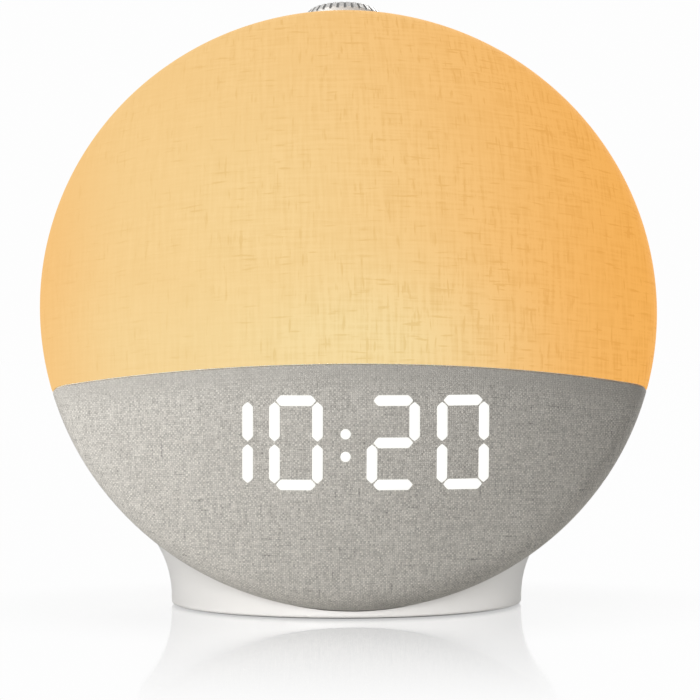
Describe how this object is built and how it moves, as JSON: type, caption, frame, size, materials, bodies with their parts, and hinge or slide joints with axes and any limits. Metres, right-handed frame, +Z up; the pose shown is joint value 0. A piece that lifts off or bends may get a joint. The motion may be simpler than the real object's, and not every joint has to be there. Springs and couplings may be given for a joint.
{
  "type": "sunrise alarm clock",
  "caption": "Bedside clock lamp: a leaning round lens with a glowing fabric upper part, lit digits behind grey fabric, a ribbed dial on top and an oval foot.",
  "frame": {"origin": "middle of the foot pad's underside, on the table", "axes": "+Z up, the clock faces -Y and leans back towards +Y, +X to the right of a person who looks at its face"},
  "size_m": [0.206, 0.1102, 0.2071],
  "materials": {
    "lit_fabric": "open-weave linen lit from behind with a warm light",
    "grey_fabric": "dense grey weave",
    "frosted_plastic": "translucent white, frosted",
    "white_plastic": "moulded white, fine texture",
    "casing_plastic": "moulded off-white, fine texture",
    "foot_plastic": "satin white",
    "black_plastic": "moulded black",
    "cream_plastic": "moulded connector plastic",
    "button_plastic": "moulded mid grey",
    "grille_plastic": "moulded grey",
    "digit_plastic": "milky light guide, lit white",
    "dial_silver": "satin silver",
    "dial_face": "silver with fine turning marks",
    "white_board": "white solder mask",
    "green_board": "green solder mask",
    "led_yellow": "phosphor",
    "led_white": "clear resin",
    "chip_black": "moulded resin",
    "bare_aluminium": "rolled, bare",
    "nickel": "nickel plated",
    "zinc_steel": "zinc plated",
    "black_steel": "black painted",
    "ferrite": "dark ground ferrite",
    "cast_weight": "rough casting",
    "paper_cone": "pressed paper",
    "spider_fabric": "varnished corrugated cloth",
    "black_rubber": "matt",
    "gasket_foam": "foam",
    "pad_rubber": "soft grey",
    "ribbon": "flat cable",
    "harness_sleeve": "sleeved wires",
    "lead_pair": "pair of insulated wires"
  },
  "bodies": {
    "housing": {"upper_fabric_cover": "lit_fabric", "upper_diffuser_shell": "frosted_plastic", "lower_fabric_cover": "grey_fabric", "lower_front_shell": "white_plastic", "light_divider": "black_plastic", "chassis_plate": "white_plastic", "heat_spreader": "bare_aluminium", "light_board": "white_board", "light_leds": "led_yellow", "light_reflector": "white_plastic", "display_board": "green_board", "display_leds": "led_white", "display_light_box": "black_plastic", "segment_guides": "digit_plastic", "main_board": "green_board", "wireless_module": "nickel", "main_chips": "chip_black", "power_capacitors": "bare_aluminium", "cell_holder": "black_plastic", "backup_cell": "nickel", "board_connectors": "cream_plastic", "light_link": "cream_plastic", "display_ribbon": "ribbon", "rear_casing": "casing_plastic", "speaker_frame": "black_steel", "speaker_gasket": "gasket_foam", "speaker_top_plate": "zinc_steel", "speaker_magnet": "ferrite", "speaker_yoke": "zinc_steel", "speaker_surround": "black_rubber", "speaker_spider": "spider_fabric", "speaker_grille": "grille_plastic", "encoder_housing": "nickel", "encoder_nut": "nickel", "encoder_board": "green_board", "encoder_ribbon": "ribbon", "foot_shell": "foot_plastic", "bottom_plate": "white_plastic", "foot_pad": "pad_rubber", "ballast_plate": "cast_weight", "io_board": "green_board", "power_socket": "nickel", "slide_switch_body": "nickel", "button_switch_body": "nickel", "power_harness": "harness_sleeve", "speaker_lead": "lead_pair", "shell_screws": "zinc_steel", "casing_screws": "zinc_steel", "board_screws": "zinc_steel", "speaker_screws": "black_steel", "foot_screws": "zinc_steel"},
    "encoder_spindle": {"encoder_rotor": "black_plastic"},
    "dial": {"dial_knob": "dial_silver", "dial_cap": "dial_face", "dial_shaft": "bare_aluminium"},
    "speaker_cone_body": {"speaker_cone": "paper_cone", "dust_cap": "paper_cone"},
    "alarm_switch": {"switch_slider": "black_plastic"},
    "reset_key": {"reset_button": "button_plastic", "button_plunger": "black_plastic"}
  },
  "joints": [
    {"name": "dial_turn", "type": "hinge", "parent": "housing", "child": "encoder_spindle", "pos_m": [0, 0.0196, 0.1809], "axis": [0, 0.2588, 0.9659], "continuous": true},
    {"name": "dial_press", "type": "slide", "parent": "encoder_spindle", "child": "dial", "axis": [0, -0.2588, -0.9659], "range_m": [0, 0.0008], "stiffness_N_per_m": 1200, "springref_m": -0.001},
    {"name": "cone_stroke", "type": "slide", "parent": "housing", "child": "speaker_cone_body", "axis": [0, -0.9659, 0.2588], "range_m": [-0.0008, 0.0008], "stiffness_N_per_m": 900, "deforming": ["speaker_surround", "speaker_spider"]},
    {"name": "alarm_switch_slide", "type": "slide", "parent": "housing", "child": "alarm_switch", "axis": [1, 0, 0], "range_m": [0, 0.003]},
    {"name": "reset_press", "type": "slide", "parent": "housing", "child": "reset_key", "axis": [0, -1, 0], "range_m": [0, 0.0005], "stiffness_N_per_m": 500, "springref_m": -0.001}
  ]
}
